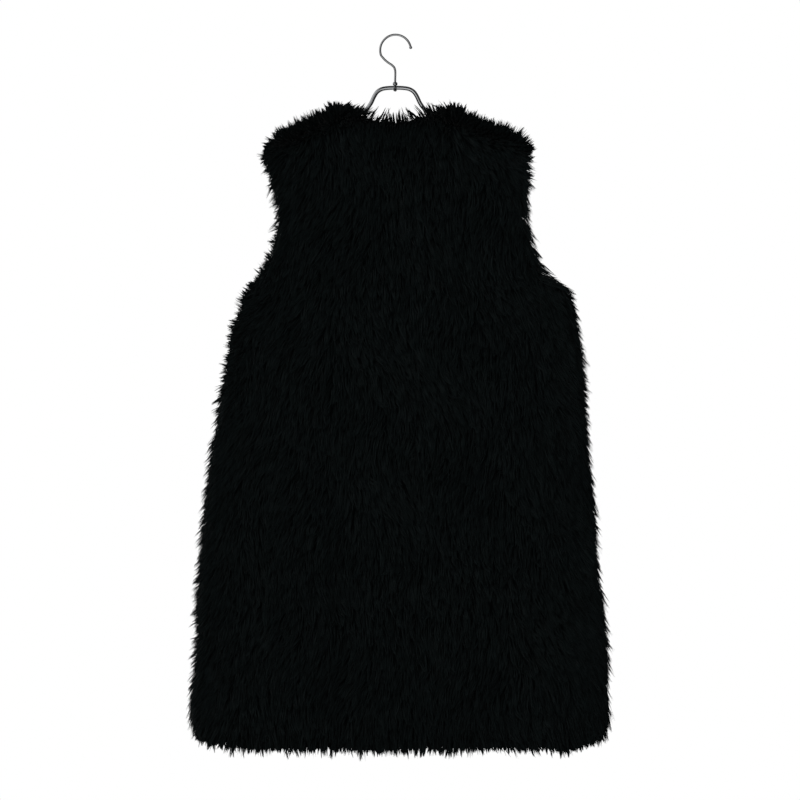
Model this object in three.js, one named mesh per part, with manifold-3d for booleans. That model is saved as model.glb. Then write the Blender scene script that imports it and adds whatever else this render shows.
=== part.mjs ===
// Long faux fur vest on a bent-rod hanger, in millimetres.
// The origin is the inside top of the hook, where a rail carries it. +Z is up.
// The back of the vest faces -Y and its two fronts face +Y, so left and right are the wearer's.
import * as THREE from "three";
import { mergeVertices } from "three/addons/utils/BufferGeometryUtils.js";
import Module from "manifold-3d";

const wasm = await Module();
wasm.setup();

// Hanger: bent rod, hook wire, collar
const ROD_RADIUS = 3;
const ROD_SIDES = 8;
const ROD_STEPS = 64;
const BAR_HEIGHT = -75.4;
const ARM_START = { x: 65, z: -119.5 };
const ARM_SLOPE = 0.404;
const ARM_END_X = 153;
const ARM_TIP_RADIUS = 3.2;
const WIRE_RADIUS = 1.6;
const WIRE_SIDES = 8;
const WIRE_STEPS = 46;
const HOOK_RADIUS = 22.3;
const HOOK_TIP_ANGLE = 8;
const HOOK_BACK_ANGLE = 200;
const HOOK_STEP_ANGLE = 12;
const HOOK_TIP_BALL = 2.3;
const STEM_X = -0.6;
const STEM_CLEARANCE = 0.35;
const SEAT_GAP = 0.3;
const RIVET_RADIUS = 2.6;
const RIVET_HEIGHT = 1.4;
const BOSS_RADIUS = 3.7;
const COLLAR_RADIUS = 3.4;
const COLLAR_HEIGHT = 4.8;
const COLLAR_CHAMFER = 0.8;
const ROUND_SIDES = 16;
const MERGE_DISTANCE = 1e-4;
const BALL_SIDES = 10;
const BALL_RINGS = 6;

// Vest: wall, edges and grid
const SEAM_GAP = 0.3;
const FRONT_GAP = 0.5;
const PILE = 16;
const HEM_DROP = 1035;
const HEM_ROLL = 11;
const HEM_INNER_RISE = 14;
const HEM_CORNER_RISE = 17;
const HEM_CORNER_START = 0.74;
const ARMHOLE_ROLL = 6;
const ARMHOLE_EDGE = 13;
const ARMHOLE_INSET = 11;
const ARMHOLE_EASE = 6;
const NECK_HALF = 80;
const NECK_EASE = 11;
const NECK_FLARE = 4;
const NECK_SEAT_RUN = 22;
const NECK_COLUMN = 8;
const NECK_DEPTH = 20;
const NECK_PILE = 14;
const NECK_ROLL = 8;
const NECK_INNER_DROP = 13;
const FRONT_NECK_DROP = 192;
const FRONT_EDGE_DIP = 6;
const FRONT_EDGE_RUN = 14;
const RIDGE_OUTER = 28;
const RIDGE_INNER = 9;
const RIDGE_SEAT = 0.6;
const RIDGE_PILE = 14;
const SECTION_POWER = 2.6;
const ARMHOLE_POWER = 3;
const HALF_COLUMNS = 20;
const COLUMN_BIAS = 0.3;
const ROWS = 48;
const RIDGE_ROWS = 4;
const ROLL_STEPS = 2;
const ROLL_LEAST = 0.75;
const ROLL_SPREAD = 0.4;
const INNER_STEP = 2;

// Locks of fur, raised on the outer face only
const LOCK_WIDTH = 46;
const LOCK_LENGTH = 66;
const LOCK_HEIGHT = 4.5;
const LOCK_LEAST = 0.55;
const LOCK_RISE = 1.3;
const LOCK_HOLLOW = 0.8;
const LOCK_STAGGER = 0.4;

// Sections of the body: half widths to each side, half depths to the back and to the front,
// and half the gap between the back and front edges of the armhole
const SECTIONS = [
  { drop: 166, left: 189, right: 197, back: 34, front: 33, armhole: 0 },
  { drop: 195, left: 190, right: 194, back: 36, front: 35, armhole: 9 },
  { drop: 238, left: 179, right: 192, back: 38, front: 37, armhole: 14 },
  { drop: 282, left: 171, right: 190, back: 39, front: 38, armhole: 15 },
  { drop: 311, left: 177, right: 199, back: 40, front: 39, armhole: 13 },
  { drop: 340, left: 195, right: 213, back: 41, front: 40, armhole: 9 },
  { drop: 360, left: 215, right: 241, back: 41, front: 40, armhole: 4 },
  { drop: 374, left: 222, right: 254, back: 41, front: 41, armhole: 0 },
  { drop: 392, left: 226, right: 256, back: 42, front: 41, armhole: 0 },
  { drop: 430, left: 240, right: 266, back: 42, front: 41, armhole: 0 },
  { drop: 530, left: 254, right: 274, back: 44, front: 43, armhole: 0 },
  { drop: 600, left: 264, right: 278, back: 45, front: 44, armhole: 0 },
  { drop: 700, left: 277, right: 290, back: 48, front: 47, armhole: 0 },
  { drop: 800, left: 287, right: 299, back: 50, front: 49, armhole: 0 },
  { drop: 880, left: 292, right: 306, back: 52, front: 50, armhole: 0 },
  { drop: 960, left: 298, right: 309, back: 53, front: 51, armhole: 0 },
  { drop: 1000, left: 298, right: 308, back: 54, front: 52, armhole: 0 },
  { drop: 1018, left: 294, right: 302, back: 53, front: 51, armhole: 0 },
];

// Top line of the fur from the left shoulder tip, over the back of the neck, to the right tip
const TOP_LINE = [
  { x: -189, drop: 167 },
  { x: -177, drop: 147 },
  { x: -160, drop: 133 },
  { x: -138, drop: 125 },
  { x: -110, drop: 113 },
  { x: -88, drop: 103 },
  { x: -70, drop: 107 },
  { x: -45, drop: 111 },
  { x: -20, drop: 116 },
  { x: 0, drop: 118 },
  { x: 22, drop: 115 },
  { x: 42, drop: 108 },
  { x: 67, drop: 109 },
  { x: 84, drop: 104 },
  { x: 105, drop: 113 },
  { x: 128, drop: 122 },
  { x: 154, drop: 128 },
  { x: 172, drop: 135 },
  { x: 189, drop: 149 },
  { x: 197, drop: 167 },
];

// Soft troughs down the cloth, each from one point to a lower one
const BACK_FOLDS = [
  { fromX: -15, fromDrop: 180, toX: -10, toDrop: 350, width: 26, depth: 5 },
  { fromX: 104, fromDrop: 215, toX: 112, toDrop: 420, width: 28, depth: 6 },
  { fromX: 22, fromDrop: 340, toX: 26, toDrop: 480, width: 30, depth: 5 },
  { fromX: -66, fromDrop: 520, toX: -78, toDrop: 1200, width: 30, depth: 9 },
  { fromX: -182, fromDrop: 500, toX: -206, toDrop: 1100, width: 28, depth: 8 },
  { fromX: 96, fromDrop: 500, toX: 186, toDrop: 800, width: 30, depth: 7 },
  { fromX: 150, fromDrop: 760, toX: 168, toDrop: 1180, width: 34, depth: 7 },
  { fromX: 40, fromDrop: 720, toX: 48, toDrop: 1220, width: 32, depth: 6 },
];
const FRONT_FOLDS = [
  { fromX: -118, fromDrop: 230, toX: -104, toDrop: 470, width: 30, depth: 6 },
  { fromX: 96, fromDrop: 250, toX: 106, toDrop: 440, width: 26, depth: 5 },
  { fromX: -92, fromDrop: 540, toX: -116, toDrop: 1200, width: 32, depth: 9 },
  { fromX: -196, fromDrop: 620, toX: -214, toDrop: 1150, width: 28, depth: 7 },
  { fromX: 78, fromDrop: 600, toX: 88, toDrop: 1180, width: 30, depth: 7 },
  { fromX: 176, fromDrop: 480, toX: 200, toDrop: 1120, width: 32, depth: 8 },
];

// Neck of the hanger, from the middle of the bar to the start of a straight arm
const NECK_BEND = [
  { x: 0, z: BAR_HEIGHT },
  { x: 12, z: -75.8 },
  { x: 20.5, z: -77.5 },
  { x: 26.4, z: -81.2 },
  { x: 30.5, z: -87 },
  { x: 36, z: -98.3 },
  { x: 42.8, z: -107.2 },
  { x: 52.4, z: -114 },
  ARM_START,
];

// Bend of the wire between the hook's round and its stem
const HOOK_BEND = [
  { x: -18.9, z: -31 },
  { x: -15.4, z: -34.9 },
  { x: -10.9, z: -38.6 },
  { x: -5.3, z: -42.4 },
  { x: -2.1, z: -45.6 },
  { x: STEM_X, z: -50 },
];

const lerp = THREE.MathUtils.lerp;
const radians = THREE.MathUtils.degToRad;
const smooth = (value) => THREE.MathUtils.smoothstep(value, 0, 1);

// Value of one column of a table, on a smooth curve through its rows
function readTable(rows, key, column, at) {
  const last = rows.length - 1;
  if (at <= rows[0][key]) return rows[0][column];
  if (at >= rows[last][key]) return rows[last][column];
  const next = rows.findIndex((row) => row[key] >= at);
  const slope = (index) => {
    const before = rows[Math.max(0, index - 1)];
    const after = rows[Math.min(last, index + 1)];
    return (after[column] - before[column]) / (after[key] - before[key]);
  };
  const from = rows[next - 1];
  const to = rows[next];
  const span = to[key] - from[key];
  const t = (at - from[key]) / span;
  const ease = t * t * (3 - 2 * t);
  const leave = t * (1 - t) * (1 - t) * span * slope(next - 1);
  const arrive = t * t * (t - 1) * span * slope(next);
  return lerp(from[column], to[column], ease) + leave + arrive;
}

// A steady number from 0 to 1 for a pair of counts
const SCATTER = { first: 127.1, second: 311.7, spread: 43758.5453 };
function scatter(first, second) {
  const angle = first * SCATTER.first + second * SCATTER.second;
  const mixed = Math.sin(angle) * SCATTER.spread;
  return mixed - Math.floor(mixed);
}

// Height of the fur's top line, with the lower scoop of the neckline at the front
function topHeight(panel, x) {
  const across = Math.abs(x);
  if (panel.depth === "back" || across >= NECK_HALF) return -readTable(TOP_LINE, "x", "drop", x);
  const neckPoint = -readTable(TOP_LINE, "x", "drop", Math.sign(x) * NECK_HALF);
  return lerp(-FRONT_NECK_DROP, neckPoint, smooth(across / NECK_HALF));
}

// 0 along the shoulder seam, 1 along the neckline of the given half width
const neckOpen = (x, half = NECK_HALF) => smooth((half - Math.abs(x)) / NECK_EASE);

// Half the depth of the neck opening
const neckDepth = (x) => NECK_DEPTH * Math.sqrt(Math.max(0, 1 - (x / NECK_HALF) ** 2));

// Top of the hanger's arm, on which the shoulder rests
function armTop(x) {
  const centre = ARM_START.z - (Math.abs(x) - ARM_START.x) * ARM_SLOPE;
  return centre + ROD_RADIUS * Math.hypot(1, ARM_SLOPE);
}

const OUTER = {
  ridge: RIDGE_OUTER,
  thick: 0,
  edge: ARMHOLE_EDGE,
  hemRise: HEM_ROLL,
  inset: (open) => ARMHOLE_ROLL * open,
  top: (panel, x) => topHeight(panel, x) - NECK_ROLL * neckOpen(x),
  crest: (x) => lerp(SEAM_GAP / 2, neckDepth(x) + NECK_PILE, neckOpen(x, NECK_HALF + NECK_FLARE)),
};

const INNER = {
  ridge: RIDGE_INNER,
  thick: PILE,
  edge: 0,
  hemRise: HEM_INNER_RISE,
  inset: (open) => lerp(PILE, ARMHOLE_INSET, open),
  top: (panel, x) => {
    const top = topHeight(panel, x);
    const seated = armTop(x) + RIDGE_SEAT;
    if (Math.abs(x) > ARM_END_X) return Math.min(seated, top - RIDGE_PILE);
    return lerp(seated, top - NECK_INNER_DROP, neckOpen(x, NECK_HALF - NECK_SEAT_RUN));
  },
  crest: (x) => Math.max(SEAM_GAP / 2, neckDepth(x)),
};

// A row of the grid: how far it has climbed from hem to shoulder, and its turn over the ridge
function rowPlace(row) {
  const bodyRows = ROWS - RIDGE_ROWS;
  const climb = Math.min(1, row / bodyRows);
  const turned = Math.max(0, (row - bodyRows) / RIDGE_ROWS);
  return { climb, turn: (Math.PI / 2) * (1 - turned) };
}

function heightAt(panel, face, u, x, place) {
  const top = face.top(panel, x);
  const corner = smooth((Math.abs(u) - HEM_CORNER_START) / (1 - HEM_CORNER_START));
  const hem = -HEM_DROP + face.hemRise + HEM_CORNER_RISE * corner * corner;
  const bodyHeight = lerp(hem, top - face.ridge, place.climb);
  return bodyHeight + face.ridge * Math.cos(place.turn);
}

// The section that the side edge has reached in this row
function sectionAt(panel, face, side, place) {
  const tip = side === "left" ? TOP_LINE[0].x : TOP_LINE[TOP_LINE.length - 1].x;
  const drop = -heightAt(panel, face, Math.sign(tip), tip, place);
  const read = (column) => readTable(SECTIONS, "drop", column, drop);
  const armhole = Math.max(0, read("armhole"));
  const open = smooth(armhole / ARMHOLE_EASE);
  return { reach: read(side), depth: read(panel.depth), armhole, open };
}

// How far the cloth sinks in its troughs
function foldDepth(folds, x, z) {
  let sink = 0;
  for (const fold of folds) {
    const along = (-z - fold.fromDrop) / (fold.toDrop - fold.fromDrop);
    if (along <= 0 || along >= 1) continue;
    const off = (x - lerp(fold.fromX, fold.toX, along)) / fold.width;
    sink += fold.depth * Math.sin(Math.PI * along) * Math.exp(-off * off);
  }
  return sink;
}

// Overlapping locks, each rising from its root to its lower tip
function lockHeight(across, z) {
  const file = across / LOCK_WIDTH;
  const down = -z / LOCK_LENGTH + LOCK_STAGGER * scatter(Math.floor(file), 0);
  const row = Math.floor(down);
  const shifted = file + 0.5 * (row % 2);
  const column = Math.floor(shifted);
  const middle = 2 * (shifted - column) - 1;
  const size = lerp(LOCK_LEAST, 1, scatter(column, row));
  const rise = Math.pow(down - row, LOCK_RISE);
  return LOCK_HEIGHT * size * rise * (1 - LOCK_HOLLOW * middle * middle);
}

// Place of a column between the middle and a side seam, closer together towards the seam
function columnPlace(column) {
  const t = column / HALF_COLUMNS;
  return t * (1 + COLUMN_BIAS - COLUMN_BIAS * t * t);
}

// Distance from the middle, evenly spread at the hem and led to the neck point at the top
function acrossAt(spread, reach, climb) {
  const neckPlace = columnPlace(NECK_COLUMN);
  const beyond = (spread - neckPlace) / (1 - neckPlace);
  const led = beyond < 0 ? (spread / neckPlace) * NECK_HALF : lerp(NECK_HALF, reach, beyond);
  return lerp(spread * reach, led, smooth(2 * climb - 1));
}

function surfacePoint(panel, face, u, row) {
  const place = rowPlace(row);
  const side = u < 0 || panel.side === "left" ? "left" : "right";
  const section = sectionAt(panel, face, side, place);
  const reach = section.reach - face.inset(section.open);
  const spread = Math.abs(u);
  const hand = side === "left" ? -1 : 1;
  const least = panel.side ? FRONT_GAP / 2 : 0;
  const across = Math.max(least, acrossAt(spread, reach, place.climb));
  const x = hand * across;
  const z = heightAt(panel, face, u, x, place);
  const seamRound = Math.pow(1 - Math.pow(spread, SECTION_POWER), 1 / SECTION_POWER);
  const edgeRound = 1 - Math.pow(spread, ARMHOLE_POWER);
  const round = lerp(seamRound, edgeRound, section.open);
  const edge = lerp(SEAM_GAP / 2, section.armhole + face.edge, section.open);
  const raised = face === OUTER;
  const lock = raised ? lockHeight(u * reach, z) : 0;
  const dip = raised && panel.side ? FRONT_EDGE_DIP * Math.exp(-((across / FRONT_EDGE_RUN) ** 2)) : 0;
  const depth = section.depth - face.thick - foldDepth(panel.folds, x, z) - dip + lock;
  const body = edge + (depth - edge) * round;
  const over = Math.sin(place.turn);
  const y = panel.facing * lerp(face.crest(x), body, over);
  const outward = hand * lock * (1 - round) * over;
  return new THREE.Vector3(x + outward, y, z + lock * (1 - over));
}

// How far the pile rolls past the cloth's free edges at a point of the border
function rollAt(panel, u, row, point) {
  const roll = new THREE.Vector3();
  const column = Math.round(u * HALF_COLUMNS * HALF_COLUMNS);
  const unevenness = ROLL_LEAST + ROLL_SPREAD * scatter(column, row);
  if (row === 0) roll.z -= HEM_ROLL;
  if (row === ROWS) roll.z += NECK_ROLL * neckOpen(point.x);
  if (Math.abs(u) === 1) {
    const side = u < 0 ? "left" : "right";
    roll.x += u * ARMHOLE_ROLL * sectionAt(panel, OUTER, side, rowPlace(row)).open;
  }
  return roll.multiplyScalar(unevenness);
}

function columnPlaces(panel) {
  const from = panel.side === "right" ? 0 : -HALF_COLUMNS;
  const to = panel.side === "left" ? 0 : HALF_COLUMNS;
  const places = [];
  for (let column = from; column <= to; column += 1) places.push(columnPlace(column));
  return places;
}

// The border of a grid as a loop of column and row counts
function borderLoop(columns, rows, step) {
  const loop = [];
  for (let i = 0; i < columns; i += step) loop.push([i, 0]);
  for (let j = 0; j < rows; j += step) loop.push([columns, j]);
  for (let i = columns; i > 0; i -= step) loop.push([i, rows]);
  for (let j = rows; j > 0; j -= step) loop.push([0, j]);
  return loop;
}

// One panel: a fine outer face, a coarser plain inner face, and a rolled or flat rim between
function panelGeometry(panel) {
  const places = columnPlaces(panel);
  const columns = places.length - 1;
  const points = [];
  const faces = [];
  const addPoint = (point) => points.push(point) - 1;
  const addFace = (a, b, c) => faces.push(panel.facing < 0 ? [a, b, c] : [a, c, b]);

  const addGrid = (face, step, turned) => {
    const index = new Map();
    for (let j = 0; j <= ROWS; j += step) {
      for (let i = 0; i <= columns; i += step) {
        index.set(`${i},${j}`, addPoint(surfacePoint(panel, face, places[i], j)));
      }
    }
    const at = (i, j) => index.get(`${i},${j}`);
    for (let j = 0; j < ROWS; j += step) {
      for (let i = 0; i < columns; i += step) {
        const quad = [at(i, j), at(i + step, j), at(i + step, j + step), at(i, j + step)];
        if (turned) quad.reverse();
        addFace(quad[0], quad[1], quad[2]);
        addFace(quad[0], quad[2], quad[3]);
      }
    }
    return at;
  };

  const outer = addGrid(OUTER, 1, false);
  const inner = addGrid(INNER, INNER_STEP, true);
  const border = borderLoop(columns, ROWS, 1);
  let loop = border.map(([i, j]) => outer(i, j));
  for (let step = 1; step <= ROLL_STEPS; step += 1) {
    const share = step / (ROLL_STEPS + 1);
    const next = border.map(([i, j]) => {
      const from = points[outer(i, j)];
      const to = surfacePoint(panel, INNER, places[i], j);
      const roll = rollAt(panel, places[i], j, from);
      return addPoint(from.clone().lerp(to, share).add(roll));
    });
    next.forEach((point, k) => {
      const after = (k + 1) % next.length;
      addFace(loop[after], loop[k], point);
      addFace(loop[after], point, next[after]);
    });
    loop = next;
  }

  const innerBorder = borderLoop(columns, ROWS, INNER_STEP).map(([i, j]) => inner(i, j));
  innerBorder.forEach((point, k) => {
    const after = (k + 1) % innerBorder.length;
    const start = INNER_STEP * k;
    const middle = loop[start + 1];
    addFace(middle, loop[start], point);
    addFace(middle, point, innerBorder[after]);
    addFace(loop[(start + INNER_STEP) % loop.length], middle, innerBorder[after]);
  });

  const geometry = new THREE.BufferGeometry().setFromPoints(points);
  geometry.setIndex(faces.flat());
  geometry.computeVertexNormals();
  return geometry;
}

// Solid of a closed geometry, and the geometry of a solid
function solidOf(geometry) {
  const plain = geometry.index ? geometry.toNonIndexed() : geometry.clone();
  plain.deleteAttribute("normal");
  plain.deleteAttribute("uv");
  const merged = mergeVertices(plain, MERGE_DISTANCE);
  const vertProperties = new Float32Array(merged.attributes.position.array);
  const triVerts = new Uint32Array(merged.index.array);
  return new wasm.Manifold(new wasm.Mesh({ numProp: 3, vertProperties, triVerts }));
}

function geometryOf(solid) {
  const mesh = solid.getMesh();
  const geometry = new THREE.BufferGeometry();
  geometry.setAttribute("position", new THREE.BufferAttribute(mesh.vertProperties, 3));
  geometry.setIndex(new THREE.BufferAttribute(mesh.triVerts, 1));
  geometry.computeVertexNormals();
  return geometry;
}

const spot = (place) => new THREE.Vector3(place.x, 0, place.z);

// Radius of the hole for the stem, and how far above and below the bar's middle the round boss
// carries what rests on that hole's rim
const STEM_HOLE = WIRE_RADIUS + STEM_CLEARANCE;
const BOSS_SEAT = Math.sqrt(BOSS_RADIUS ** 2 - STEM_HOLE ** 2) + SEAT_GAP;

// A round bar along a path
function barAlong(path, radius, sides, steps) {
  const ring = new THREE.Shape();
  for (let k = 0; k < sides; k += 1) {
    const angle = ((k + 0.5) * 2 * Math.PI) / sides;
    const reach = radius / Math.cos(Math.PI / sides);
    const place = [reach * Math.cos(angle), reach * Math.sin(angle)];
    if (k === 0) ring.moveTo(...place);
    else ring.lineTo(...place);
  }
  return new THREE.ExtrudeGeometry(ring, { steps, extrudePath: path, bevelEnabled: false });
}

function ballAt(place, radius) {
  const ball = new THREE.SphereGeometry(radius, BALL_SIDES, BALL_RINGS);
  ball.translate(place.x, 0, place.z);
  return ball;
}

// A cylinder on the stem's line, from its lower end
function stemCylinder(radius, bottom, height) {
  const cylinder = new THREE.CylinderGeometry(radius, radius, height, ROUND_SIDES);
  cylinder.rotateX(Math.PI / 2);
  cylinder.translate(STEM_X, 0, bottom + height / 2);
  return cylinder;
}

// The bent rod: a low arch for the neck, two straight sloping arms, a boss with a hole for the stem
function hangerFrame() {
  const armEnd = { x: ARM_END_X, z: ARM_START.z - (ARM_END_X - ARM_START.x) * ARM_SLOPE };
  const mirror = (place) => ({ x: -place.x, z: place.z });
  const rightNeck = NECK_BEND.map(spot);
  const leftNeck = NECK_BEND.slice(1).reverse().map(mirror).map(spot);
  const path = new THREE.CurvePath();
  path.add(new THREE.LineCurve3(spot(mirror(armEnd)), spot(mirror(ARM_START))));
  path.add(new THREE.CatmullRomCurve3([...leftNeck, ...rightNeck], false, "centripetal"));
  path.add(new THREE.LineCurve3(spot(ARM_START), spot(armEnd)));
  const boss = ballAt({ x: STEM_X, z: BAR_HEIGHT }, BOSS_RADIUS);
  const hole = stemCylinder(STEM_HOLE, BAR_HEIGHT - 2 * BOSS_RADIUS, 4 * BOSS_RADIUS);
  const solid = solidOf(barAlong(path, ROD_RADIUS, ROD_SIDES, ROD_STEPS))
    .add(solidOf(ballAt(armEnd, ARM_TIP_RADIUS)))
    .add(solidOf(ballAt(mirror(armEnd), ARM_TIP_RADIUS)))
    .add(solidOf(boss))
    .subtract(solidOf(hole));
  return geometryOf(solid);
}

// The hook: a round of wire with a ball tip, a bend back to the stem, and the rivet head below
function hangerHook() {
  const centre = WIRE_RADIUS - HOOK_RADIUS;
  const places = [];
  for (let angle = HOOK_TIP_ANGLE; angle <= HOOK_BACK_ANGLE; angle += HOOK_STEP_ANGLE) {
    const turn = radians(angle);
    places.push({ x: HOOK_RADIUS * Math.cos(turn), z: centre + HOOK_RADIUS * Math.sin(turn) });
  }
  const rivetTop = BAR_HEIGHT - BOSS_SEAT;
  const stemEnd = { x: STEM_X, z: rivetTop - RIVET_HEIGHT / 2 };
  const stemMiddle = { x: STEM_X, z: lerp(HOOK_BEND[HOOK_BEND.length - 1].z, stemEnd.z, 0.5) };
  const route = [...places, ...HOOK_BEND, stemMiddle, stemEnd].map(spot);
  const path = new THREE.CatmullRomCurve3(route, false, "centripetal");
  const solid = solidOf(barAlong(path, WIRE_RADIUS, WIRE_SIDES, WIRE_STEPS))
    .add(solidOf(ballAt(places[0], HOOK_TIP_BALL)))
    .add(solidOf(stemCylinder(RIVET_RADIUS, rivetTop - RIVET_HEIGHT, RIVET_HEIGHT)));
  return geometryOf(solid);
}

// The collar that keeps the hook upright on the bar
function hookCollar() {
  const bottom = BAR_HEIGHT + BOSS_SEAT;
  const top = bottom + COLLAR_HEIGHT;
  const profile = [
    new THREE.Vector2(STEM_HOLE, bottom),
    new THREE.Vector2(COLLAR_RADIUS - COLLAR_CHAMFER, bottom),
    new THREE.Vector2(COLLAR_RADIUS, bottom + COLLAR_CHAMFER),
    new THREE.Vector2(COLLAR_RADIUS, top - COLLAR_CHAMFER),
    new THREE.Vector2(COLLAR_RADIUS - COLLAR_CHAMFER, top),
    new THREE.Vector2(STEM_HOLE, top),
    new THREE.Vector2(STEM_HOLE, bottom),
  ];
  const ring = new THREE.LatheGeometry(profile, ROUND_SIDES);
  ring.rotateX(Math.PI / 2);
  ring.translate(STEM_X, 0, 0);
  return ring;
}

const FUR = { color: 0x0b0c0d, roughness: 0.85, metalness: 0 };
const STEEL = { color: 0xb9bcc0, roughness: 0.22, metalness: 1 };
const DULL_STEEL = { color: 0x6f7276, roughness: 0.3, metalness: 1 };

const group = new THREE.Group();

function addPiece(name, geometry, finish) {
  const mesh = new THREE.Mesh(geometry, new THREE.MeshStandardMaterial(finish));
  mesh.name = name;
  group.add(mesh);
}

const PANELS = {
  back: { facing: -1, depth: "back", side: null, folds: BACK_FOLDS },
  front_left: { facing: 1, depth: "front", side: "left", folds: FRONT_FOLDS },
  front_right: { facing: 1, depth: "front", side: "right", folds: FRONT_FOLDS },
};
for (const [name, panel] of Object.entries(PANELS)) {
  addPiece(name, panelGeometry(panel), FUR);
}
addPiece("hanger_frame", hangerFrame(), STEEL);
addPiece("hanger_hook", hangerHook(), STEEL);
addPiece("hook_collar", hookCollar(), DULL_STEEL);

export default group;
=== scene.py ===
# %% [markdown]
# A long black faux fur vest hangs by its shoulders on a bent steel hanger.
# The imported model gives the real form: a back, two fronts and the hanger's three metal pieces.
# This lesson dresses that form. Each panel gets its knitted cloth, the short dense fibre that
# stands on the cloth, and many thousands of long hairs in clumps. The hanger gets polished steel.
# All sizes are in metres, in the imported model's own frame, with +Z up and the back facing -Y.

# %% Load the frame
import math

import bmesh
import bpy
import numpy as np
from mathutils import Matrix, Vector
from mathutils.bvhtree import BVHTree
from mathutils.kdtree import KDTree


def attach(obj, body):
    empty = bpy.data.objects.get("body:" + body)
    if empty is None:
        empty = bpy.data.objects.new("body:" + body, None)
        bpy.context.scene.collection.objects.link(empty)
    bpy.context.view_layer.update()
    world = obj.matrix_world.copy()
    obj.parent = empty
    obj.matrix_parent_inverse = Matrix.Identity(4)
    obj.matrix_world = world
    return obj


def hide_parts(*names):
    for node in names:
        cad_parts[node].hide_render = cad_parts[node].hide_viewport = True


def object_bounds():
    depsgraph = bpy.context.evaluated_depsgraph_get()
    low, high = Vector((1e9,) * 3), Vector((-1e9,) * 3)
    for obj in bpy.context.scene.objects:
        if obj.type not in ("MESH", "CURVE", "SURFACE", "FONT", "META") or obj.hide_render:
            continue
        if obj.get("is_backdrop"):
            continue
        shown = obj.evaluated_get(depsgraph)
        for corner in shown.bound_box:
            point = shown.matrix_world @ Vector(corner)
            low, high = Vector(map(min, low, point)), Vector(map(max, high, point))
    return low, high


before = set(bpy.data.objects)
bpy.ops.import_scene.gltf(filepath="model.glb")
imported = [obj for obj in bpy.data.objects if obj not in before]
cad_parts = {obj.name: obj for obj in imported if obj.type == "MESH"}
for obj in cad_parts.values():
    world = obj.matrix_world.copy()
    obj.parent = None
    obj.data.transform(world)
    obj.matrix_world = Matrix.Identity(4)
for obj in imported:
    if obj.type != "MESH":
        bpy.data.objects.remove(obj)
cad_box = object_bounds()
scene = bpy.context.scene
MM = 0.001
print("packed box", [[round(value, 4) for value in corner] for corner in cad_box])

# %% [markdown]
# Four small helpers serve the whole lesson. One puts a thing into the scene, and three write
# shader trees briefly. A link is a node and its output, then a node and its input.

# %% Small helpers


def place_object(name, data):
    """A new object in the scene."""
    thing = bpy.data.objects.new(name, data)
    scene.collection.objects.link(thing)
    return thing


def add_nodes(tree, *kinds):
    """A new node of each kind in a shader tree."""
    return [tree.nodes.new("ShaderNode" + kind) for kind in kinds]


def set_sockets(node, values):
    """Sets plain values on a node's inputs."""
    for name, value in values.items():
        node.inputs[name].default_value = value


def link_nodes(tree, *links):
    """Makes the links of a shader tree."""
    for start, output, end, entry in links:
        tree.links.new(start.outputs[output], end.inputs[entry])


# %% [markdown]
# The camera stands level with the middle of the picture and looks straight at the back.
# A long lens from over four metres away keeps the sides nearly parallel, as in the photograph.

# %% Camera
VIEW_WIDTH = 1.16
CAMERA_DISTANCE = 4.2
CAMERA_AIM = Vector((0.0065, 0.0, -0.528))


def add_camera():
    """A level camera whose picture is VIEW_WIDTH across at the vest."""
    data = bpy.data.cameras.new("camera")
    data.sensor_width = 36
    data.lens = data.sensor_width * CAMERA_DISTANCE / VIEW_WIDTH
    camera = place_object("camera", data)
    camera.location = CAMERA_AIM + Vector((0, -CAMERA_DISTANCE, 0))
    camera.rotation_euler = (math.radians(90), 0, 0)
    scene.camera = camera
    return camera


print("lens in mm", round(add_camera().data.lens, 1))

# %% [markdown]
# The photograph has a pure white ground, so the camera sees a plain white world.
# Polished steel needs something to mirror: a round bar looks like metal when a bright band
# lies between dark edges. So the world that lights the object is dark but for bright spots: one
# in front, a little low, and one high on the left. Both have a twin on the far side, because
# the vest is looked at from both sides.

# %% World
scene.view_settings.view_transform = "Standard"
SPOTS = [
    {"way": (-0.15, 0.94, -0.30), "dark_end": 0.84, "bright_start": 0.98, "brightness": 1.3},
    {"way": (-0.75, 0.50, 0.43), "dark_end": 0.76, "bright_start": 0.98, "brightness": 1.0},
]
DARK_BRIGHTNESS = 0.07


def studio_world():
    """White to the camera, and to everything else dark but for the bright spots."""
    world = bpy.data.worlds.new("studio")
    world.use_nodes = True
    tree = world.node_tree
    tree.nodes.clear()
    place, parts, size, way, brightest = add_nodes(
        tree, "TexCoord", "SeparateXYZ", "Math", "CombineXYZ", "Math"
    )
    light, ground, seen, mix, out = add_nodes(
        tree, "Background", "Background", "LightPath", "MixShader", "OutputWorld"
    )
    size.operation = "ABSOLUTE"
    brightest.operation = "MAXIMUM"
    set_sockets(ground, {"Color": (1, 1, 1, 1)})
    link_nodes(
        tree,
        (place, "Generated", parts, 0),
        (parts, "Y", size, 0),
        (parts, "X", way, "X"),
        (size, 0, way, "Y"),
        (parts, "Z", way, "Z"),
        (brightest, 0, light, "Strength"),
        (seen, "Is Camera Ray", mix, 0),
        (light, 0, mix, 1),
        (ground, 0, mix, 2),
        (mix, 0, out, "Surface"),
    )
    for number, spot in enumerate(SPOTS):
        near, ramp = add_nodes(tree, "VectorMath", "MapRange")
        near.operation = "DOT_PRODUCT"
        near.inputs[1].default_value = spot["way"]
        ramp.interpolation_type = "SMOOTHSTEP"
        set_sockets(ramp, {"From Min": spot["dark_end"], "From Max": spot["bright_start"]})
        set_sockets(ramp, {"To Min": DARK_BRIGHTNESS, "To Max": spot["brightness"]})
        link_nodes(
            tree,
            (way, 0, near, 0),
            (near, "Value", ramp, "Value"),
            (ramp, "Result", brightest, number),
        )
    scene.world = world


studio_world()

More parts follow.
